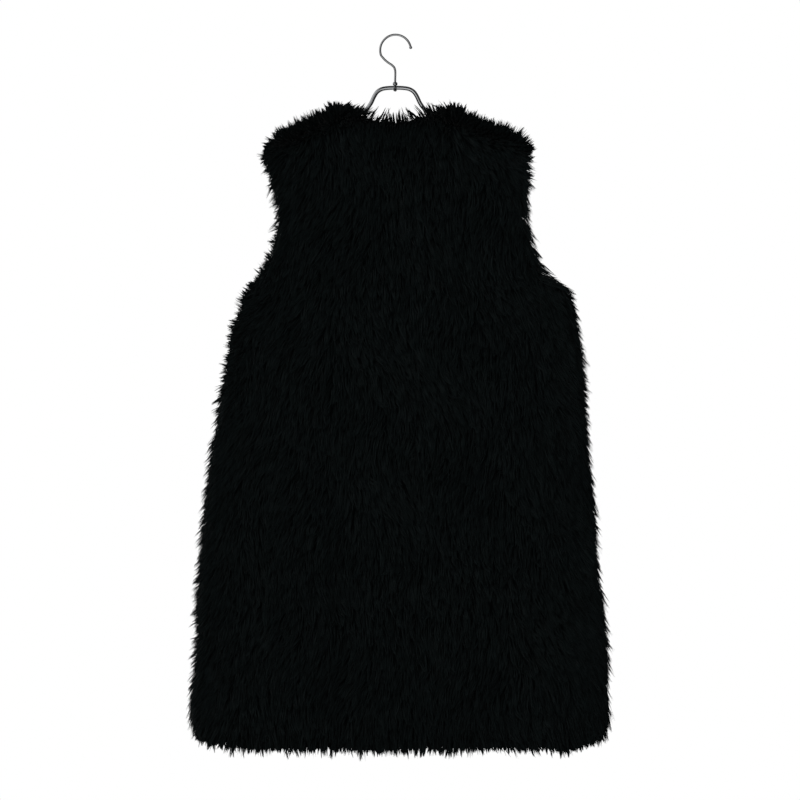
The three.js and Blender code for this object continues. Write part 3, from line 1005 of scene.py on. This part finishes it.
def grow(panel, coat, count, seed):
    """The hairs of a coat on a panel: points along each, its normal and its tone."""
    draws = np.random.default_rng(seed)
    skin, root, normals, filled = sow(panel, count, draws, coat["on_faces"])
    clumps = sow_clumps(panel, coat, int(filled / coat["clump_gap"] ** 2), draws)
    tree = tree_at(clumps["root"])
    home = np.array([tree.find(place)[1] for place in root.tolist()])
    way = unit(lie(skin, normals) + draws.normal(0, coat["hair_turn"], (count, 3)))
    length = coat["length"] * clumps["share"][home]
    length *= 1 + LENGTH_SPREAD * draws.uniform(-1, 1, count)
    levels = np.linspace(0, 1, coat["steps"] + 1)
    paths = np.stack(
        [
            root + unit(way + normals * CURL * (1 - level)) * (length * level)[:, None]
            for level in levels
        ],
        1,
    )
    paths = shorten(paths, coat, clumps["draw"][home])
    pull = draws.uniform(*coat["pull"], count)
    pull[draws.random(count) < LOOSE_SHARE] = LOOSE_PULL
    gathered = clumps["tip"][home] + (root - clumps["root"][home]) * CLUMP_ROOM
    shift = gathered - paths[:, -1]
    bend = (levels**PULL_POWER)[None, :, None]
    paths += shift[:, None, :] * bend * pull[:, None, None]
    run = np.linalg.norm(paths[:, -1] - paths[:, 0], axis=1)
    kept = 1 - np.clip(draws.exponential(coat["hair_tail"], count) / run, 0, MOST_TAIL)
    paths = paths[:, :1] + (paths - paths[:, :1]) * kept[:, None, None]
    return {"paths": paths, "normals": normals, "tone": clumps["tone"][home]}


# %% [markdown]
# A few locks stand out of the outline in the photograph: at both shoulder tips, round the
# neck, at the right side and at the hem. Each is a small bundle of fine hairs from a root
# inside the fur to a tip outside it. A row gives both as X and Z.

# %% Stray locks
STRAY_DEPTH = -0.012
STRAY_SEED = 5
STRAY_HAIRS = 9
STRAY_ROOT_SPREAD = 2.2 * MM
STRAY_TIP_SPREAD = 1.3 * MM
STRAY_SHORTEST = 0.45
STRAY_INSIDE = 0.8
STRAY_SAG = 0.12
STRAY_LOCKS = [
    ((-0.178, -0.159), (-0.193, -0.168)),
    ((-0.094, -0.108), (-0.098, -0.096)),
    ((-0.069, -0.105), (-0.063, -0.096)),
    ((-0.065, -0.109), (-0.052, -0.099)),
    ((-0.051, -0.109), (-0.044, -0.101)),
    ((0.023, -0.117), (0.016, -0.106)),
    ((0.082, -0.107), (0.077, -0.094)),
    ((0.096, -0.110), (0.093, -0.098)),
    ((0.186, -0.163), (0.203, -0.164)),
    ((0.268, -0.455), (0.280, -0.460)),
    ((0.031, -1.030), (0.033, -1.048)),
]


def stray_hairs(steps):
    """The hairs of the stray locks, as a coat of their own."""
    draws = np.random.default_rng(STRAY_SEED)
    levels = np.linspace(0, 1, steps + 1)[:, None]
    paths = []
    for lock in STRAY_LOCKS:
        start, end = (np.array([x, STRAY_DEPTH, z]) for x, z in lock)
        inside = start - (end - start) * STRAY_INSIDE
        for _ in range(STRAY_HAIRS):
            root = inside + draws.normal(0, STRAY_ROOT_SPREAD, 3)
            tip = end + draws.normal(0, STRAY_TIP_SPREAD, 3)
            tip += (root - tip) * draws.uniform(0, STRAY_SHORTEST)
            path = root + (tip - root) * levels
            path[:, 2] += STRAY_SAG * np.linalg.norm(tip - root) * np.sin(math.pi * levels[:, 0])
            paths.append(path)
    count = len(paths)
    normals = np.tile([0.0, -1.0, 0.0], (count, 1))
    return {"paths": np.array(paths), "normals": normals, "tone": draws.random(count)}


# %% [markdown]
# A hair is a ribbon of two or three steps that ends in a point. A flat ribbon would glint like
# paper, so its two edges get normals that lean apart, and it takes light like a round fibre. The
# mesh arrays are filled in one go, because a list of single faces would take minutes.

# %% Make a mesh of hairs
WIDTH_SPREAD = 0.35
ROOT_WIDTH = 0.8
TIP_WIDTH = 0.6
TWIST = math.radians(55)
ROUNDNESS = 0.8


def ribbon_points(hairs, width, draws):
    """The points of each hair in pairs, with a single one at the tip, and their normals."""
    paths = hairs["paths"]
    count, stops = paths.shape[:2]
    steps = stops - 1
    way = unit(paths[:, -1] - paths[:, 0])
    across = unit(np.cross(way, hairs["normals"]))
    ahead = np.cross(across, way)
    twist = draws.uniform(-TWIST, TWIST, count)[:, None]
    side = across * np.cos(twist) + ahead * np.sin(twist)
    front = ahead * np.cos(twist) - across * np.sin(twist)
    half = width / 2 * (1 + WIDTH_SPREAD * draws.uniform(-1, 1, count))
    taper = np.interp(np.arange(steps), [0, 1, steps], [ROOT_WIDTH, 1, TIP_WIDTH])
    offset = side[:, None, :] * (half[:, None] * taper)[..., None]
    points = np.zeros((count, 2 * steps + 1, 3))
    points[:, 0:-1:2] = paths[:, :-1] - offset
    points[:, 1::2] = paths[:, :-1] + offset
    points[:, -1] = paths[:, -1]
    normals = np.repeat(front[:, None, :], 2 * steps + 1, 1)
    normals[:, 0:-1:2] -= side[:, None, :] * ROUNDNESS
    normals[:, 1::2] += side[:, None, :] * ROUNDNESS
    return points.reshape(-1, 3), unit(normals).reshape(-1, 3)


def ribbon_faces(steps):
    """The corners of one ribbon's faces, and where each face starts."""
    corners = []
    starts = []
    for step in range(steps - 1):
        starts.append(len(corners))
        corners += [2 * step, 2 * step + 1, 2 * step + 3, 2 * step + 2]
    starts.append(len(corners))
    corners += [2 * steps - 2, 2 * steps - 1, 2 * steps]
    return np.array(corners), np.array(starts)


def make_hairs(name, hairs, width, seed):
    """One joined mesh of ribbons."""
    draws = np.random.default_rng(seed)
    count, stops = hairs["paths"].shape[:2]
    points, normals = ribbon_points(hairs, width, draws)
    one_corners, one_starts = ribbon_faces(stops - 1)
    firsts = np.arange(count)[:, None]
    corners = (firsts * (2 * stops - 1) + one_corners).ravel()
    starts = (firsts * len(one_corners) + one_starts).ravel()
    data = bpy.data.meshes.new(name)
    data.vertices.add(len(points))
    data.vertices.foreach_set("co", points.astype(np.float32).ravel())
    data.loops.add(len(corners))
    data.loops.foreach_set("vertex_index", corners.astype(np.int32))
    data.polygons.add(len(starts))
    data.polygons.foreach_set("loop_start", starts.astype(np.int32))
    along = np.append(np.repeat(np.linspace(0, 1, stops)[:-1], 2), 1)
    place = np.zeros((count, len(one_corners), 2), np.float32)
    place[..., 0] = hairs["tone"][:, None]
    place[..., 1] = along[one_corners]
    data.uv_layers.new(name=HAIR_UV).data.foreach_set("uv", place.ravel())
    data.update(calc_edges=True)
    data.validate()
    data.normals_split_custom_set_from_vertices(normals.tolist())
    print(name, count, "hairs,", (2 * stops - 3) * count, "triangles")
    return add_piece(name, data, HAIR)


# %% [markdown]
# The back has twice the area of a front, so its cover is two pieces, each well under the
# number of faces that a piece may have.

# %% Grow the fur
COVER_HAIRS = {"back": 54000, "front_left": 27000, "front_right": 28000}
FRINGE_HAIRS = {"back": 62000, "front_left": 33000, "front_right": 33000}
FUR_SEED = 21


def some_of(hairs, chosen):
    """Some of the hairs."""
    return {key: values[chosen] for key, values in hairs.items()}


def joined(*coats):
    """The hairs of several coats as one."""
    return {key: np.concatenate([coat[key] for coat in coats]) for key in coats[0]}


hair_count_share = 1
furs = {}
for seed, (name, panel) in enumerate(panels.items(), FUR_SEED):
    cover, fringe = (
        grow(panel, COATS[coat], int(counts[name] * hair_count_share), seed)
        for coat, counts in (("cover", COVER_HAIRS), ("fringe", FRINGE_HAIRS))
    )
    parts = {name + "_fur": cover}
    if name == "back":
        height = cover["paths"][:, 0, 2]
        upper = height > np.median(height)
        parts = {"back_fur_upper": some_of(cover, upper), "back_fur_lower": some_of(cover, ~upper)}
        fringe = joined(fringe, stray_hairs(COATS["fringe"]["steps"]))
    furs[name] = [
        make_hairs(part, hairs, COATS["cover"]["width"], seed) for part, hairs in parts.items()
    ]
    furs[name].append(make_hairs(name + "_fringe", fringe, COATS["fringe"]["width"], seed))

# %% [markdown]
# Each panel is a sheet of fur cloth, cut flat and sewn at the shoulders and sides.

# %% [markdown]
# The hanger is one bent rod with two straight arms, and a hook of thinner wire. Each is a round
# bar along a path. Its radius may change along the way, which gives the ball at the hook's tip
# and the round ends of the arms. The paths are those of the imported hanger, with more sides.

# %% Round bars
BAR_SIDES = 24
BAR_STEP = 1.1 * MM
CURVE_STEPS = 24
CURVE_SPANS = [[(0, 1), (1, 2), (2, 3)], [(0, 2), (1, 3)], [(1, 2)]]
BALL_END = 0.12


def travel(line):
    """How far along a line each of its points lies."""
    return np.append(0, np.cumsum(np.linalg.norm(np.diff(line, axis=0), axis=1)))


def smooth_path(places, step):
    """Points a step apart on a smooth curve through places in the XZ plane."""
    rows = np.array(places, float)
    rows = np.vstack([2 * rows[0] - rows[1], rows, 2 * rows[-1] - rows[-2]])
    found = []
    for corners in zip(rows, rows[1:], rows[2:], rows[3:]):
        knots = [0.0]
        for here, there in zip(corners, corners[1:]):
            knots.append(knots[-1] + math.sqrt(np.linalg.norm(there - here)))
        t = np.linspace(knots[1], knots[2], CURVE_STEPS, endpoint=False)[:, None]
        for spans in CURVE_SPANS:
            corners = [
                (knots[last] - t) / (knots[last] - knots[first]) * corners[k]
                + (t - knots[first]) / (knots[last] - knots[first]) * corners[k + 1]
                for k, (first, last) in enumerate(spans)
            ]
        found.append(corners[0])
    line = np.vstack([*found, rows[-2]])
    travelled = travel(line)
    stops = np.linspace(0, travelled[-1], int(travelled[-1] / step) + 1)
    return np.stack([np.interp(stops, travelled, line[:, axis]) for axis in (0, 1)], 1)


def round_bar(line, radii):
    """Points and faces of a closed round bar along a line in the XZ plane."""
    way = unit(np.gradient(line, axis=0))
    side = np.stack([way[:, 1], -way[:, 0]], 1)
    angles = np.arange(BAR_SIDES) * math.tau / BAR_SIDES
    rings = np.zeros((len(line), BAR_SIDES, 3))
    reach = radii[:, None] * np.cos(angles)
    rings[..., 0] = line[:, :1] + side[:, :1] * reach
    rings[..., 1] = radii[:, None] * np.sin(angles)
    rings[..., 2] = line[:, 1:] + side[:, 1:] * reach
    faces = []
    for ring in range(len(line) - 1):
        for k in range(BAR_SIDES):
            here = ring * BAR_SIDES
            after = (k + 1) % BAR_SIDES
            faces.append([here + k, here + BAR_SIDES + k, here + BAR_SIDES + after, here + after])
    faces.append(list(range(BAR_SIDES)))
    last = (len(line) - 1) * BAR_SIDES
    faces.append([last + k for k in reversed(range(BAR_SIDES))])
    return rings.reshape(-1, 3), faces


def ball_radii(line, plain, first, last):
    """The bar's radius at each point of a line that starts and ends in balls of given radii."""
    travelled = travel(line)
    radii = np.full(len(line), plain)
    for ball, distance in ((first, travelled), (last, travelled[-1] - travelled)):
        bulge = np.sqrt(np.maximum(ball**2 - (distance - ball) ** 2, (BALL_END * ball) ** 2))
        in_ball = distance < ball
        radii = np.where(in_ball, bulge, np.maximum(radii, np.where(distance < 2 * ball, bulge, 0)))
    return radii


# %% [markdown]
# The bent rod: a low arch for the neck between two straight arms that slope at 22 degrees. In
# the middle it swells to a round boss, with the hole that the hook's stem turns in. The boss
# is joined on and the hole is cut out by two boolean modifiers, which are then applied.

# %% Bent rod
ROD_RADIUS = 3 * MM
ARM_TIP_RADIUS = 3.2 * MM
ARM_SLOPE = 0.404
ARM_END_X = 153 * MM
ARM_STEPS = 60
NECK_BEND_MM = [
    (0, -75.4), (12, -75.8), (20.5, -77.5), (26.4, -81.2), (30.5, -87), (36, -98.3),
    (42.8, -107.2), (52.4, -114), (65, -119.5),
]
NECK_BEND = [(x * MM, z * MM) for x, z in NECK_BEND_MM]
BAR_HEIGHT = NECK_BEND[0][1]
ARM_START = NECK_BEND[-1]
BOSS_RADIUS = 3.7 * MM
STEM_X = -0.6 * MM
STEM_HOLE = 1.95 * MM
END_STEPS = 10
END_LEAST = 0.02


def ending(line, ball):
    """A line made longer at both ends by most of a ball, with close steps there."""
    close = np.linspace(1, END_LEAST, END_STEPS)[:, None] ** 2 * ball
    before = line[0] - unit(line[1] - line[0]) * close
    after = line[-1] + unit(line[-1] - line[-2]) * close[::-1]
    return np.vstack([before, line, after])


def bent_rod():
    """The hanger's rod."""
    arm_end = (ARM_END_X, ARM_START[1] - (ARM_END_X - ARM_START[0]) * ARM_SLOPE)
    neck = smooth_path([(-x, z) for x, z in NECK_BEND[:0:-1]] + NECK_BEND, BAR_STEP)
    steps = np.linspace(0, 1, ARM_STEPS, endpoint=False)[:, None]
    right = np.array(arm_end) + (np.array(ARM_START) - arm_end) * steps
    left = right * (-1, 1)
    line = ending(np.vstack([left, neck, right[::-1]]), ARM_TIP_RADIUS)
    points, faces = round_bar(line, ball_radii(line, ROD_RADIUS, ARM_TIP_RADIUS, ARM_TIP_RADIUS))
    rod = make_piece("bent_rod", points, faces, STEEL, "rod")
    rod.data.materials.append(DULL_STEEL)
    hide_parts("hanger_frame")
    return rod


def combine(piece, shape, operation):
    """Joins a shape onto a piece or cuts it out, and leaves a plain mesh."""
    data = bpy.data.meshes.new("cutter")
    bmesh.ops.recalc_face_normals(shape, faces=shape.faces)
    for face in shape.faces:
        face.material_index = 1
        face.smooth = True
    shape.to_mesh(data)
    shape.free()
    data.materials.append(STEEL)
    data.materials.append(DULL_STEEL)
    cutter = place_object("cutter", data)
    step = piece.modifiers.new("step", "BOOLEAN")
    step.operation = operation
    step.object = cutter
    view = bpy.context.evaluated_depsgraph_get()
    result = bpy.data.meshes.new_from_object(piece.evaluated_get(view))
    piece.modifiers.clear()
    piece.data = result
    bpy.data.objects.remove(cutter)


def add_boss(rod):
    """The boss in the middle of the rod, and the hole through it."""
    place = Matrix.Translation((STEM_X, 0, BAR_HEIGHT))
    boss = bmesh.new()
    bmesh.ops.create_uvsphere(boss, u_segments=32, v_segments=20, radius=BOSS_RADIUS, matrix=place)
    combine(rod, boss, "UNION")
    hole = bmesh.new()
    bmesh.ops.create_cone(
        hole, cap_ends=True, segments=32, radius1=STEM_HOLE, radius2=STEM_HOLE,
        depth=4 * BOSS_RADIUS, matrix=place,
    )
    combine(rod, hole, "DIFFERENCE")


rod = bent_rod()
add_boss(rod)
print("rod from", round(rod.bound_box[0][0], 4), "to", round(rod.bound_box[6][0], 4))

# %% [markdown]
# The hook: most of a circle, from 8 degrees at the tip to 200 at the back, a bend back to the
# middle, and a stem that goes through the collar and the bar and ends in a rivet head. Collar
# and head are turned shapes round the stem, with profiles of radius and height in millimetres.

# %% Hook, rivet and collar
WIRE_RADIUS = 1.6 * MM
HOOK_RADIUS = 22.3 * MM
HOOK_TIP_BALL = 2.3 * MM
HOOK_ANGLES = range(8, 201, 12)
HOOK_BEND_MM = [
    (-18.9, -31), (-15.4, -34.9), (-10.9, -38.6), (-5.3, -42.4), (-2.1, -45.6), (-0.6, -50),
    (-0.6, -64.5), (-0.6, -79.4),
]
SHARP_ANGLE = math.radians(50)
TURNED_SIDES = 32
RIVET = [(0.0, -80.3), (1.4, -80.2), (2.2, -79.9), (2.6, -79.4), (2.6, -78.9), (0.0, -78.85)]
COLLAR = [
    (1.95, -71.95), (2.6, -71.95), (3.15, -71.7), (3.4, -71.1), (3.4, -68.6), (3.0, -67.7),
    (2.4, -67.2), (1.95, -67.15),
]


def turned(profile, closed):
    """Points and faces of a profile in millimetres turned round the stem."""
    angles = np.arange(TURNED_SIDES) * math.tau / TURNED_SIDES
    points = []
    for radius, high in profile:
        for angle in angles:
            x = STEM_X + radius * MM * math.cos(angle)
            points.append((x, radius * MM * math.sin(angle), high * MM))
    faces = []
    rows = len(profile) if closed else len(profile) - 1
    for row in range(rows):
        here = row * TURNED_SIDES
        above = (row + 1) % len(profile) * TURNED_SIDES
        for k in range(TURNED_SIDES):
            after = (k + 1) % TURNED_SIDES
            faces.append([here + k, here + after, above + after, above + k])
    return np.array(points), faces


def tidy(piece):
    """Merges points that lie on each other, and turns all faces outward."""
    shape = bmesh.new()
    shape.from_mesh(piece.data)
    bmesh.ops.remove_doubles(shape, verts=shape.verts, dist=MERGE_DISTANCE)
    bmesh.ops.recalc_face_normals(shape, faces=shape.faces)
    shape.to_mesh(piece.data)
    shape.free()
    piece.data.set_sharp_from_angle(angle=SHARP_ANGLE)


centre = WIRE_RADIUS - HOOK_RADIUS
hook_round = [
    (HOOK_RADIUS * math.cos(turn), centre + HOOK_RADIUS * math.sin(turn))
    for turn in np.radians(HOOK_ANGLES)
]
hook_bend = [(x * MM, z * MM) for x, z in HOOK_BEND_MM]
hook_line = ending(smooth_path(hook_round + hook_bend, BAR_STEP), WIRE_RADIUS)
hook_radii = ball_radii(hook_line, WIRE_RADIUS, HOOK_TIP_BALL, WIRE_RADIUS)
hook = make_piece("hook_wire", *round_bar(hook_line, hook_radii), STEEL, "rod")
rivet = make_piece("rivet_head", *turned(RIVET, False), DULL_STEEL, "collar")
collar = make_piece("collar", *turned(COLLAR, True), COLLAR_STEEL, "collar")
for metal in (rod, hook, rivet, collar):
    tidy(metal)
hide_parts("hanger_hook")
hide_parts("hanger_hook")
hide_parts("hook_collar")
print("hook and collar made")

# %% [markdown]
# The visual model's box is set beside the imported one's, and how far it stands past it on each side
# is printed in millimetres.

# %% Sizes against the imported model
visual_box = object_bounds()
past = [cad_box[0][i] - visual_box[0][i] for i in range(3)]
past += [visual_box[1][i] - cad_box[1][i] for i in range(3)]
print("past the packed box in mm", [round(value / MM, 1) for value in past])
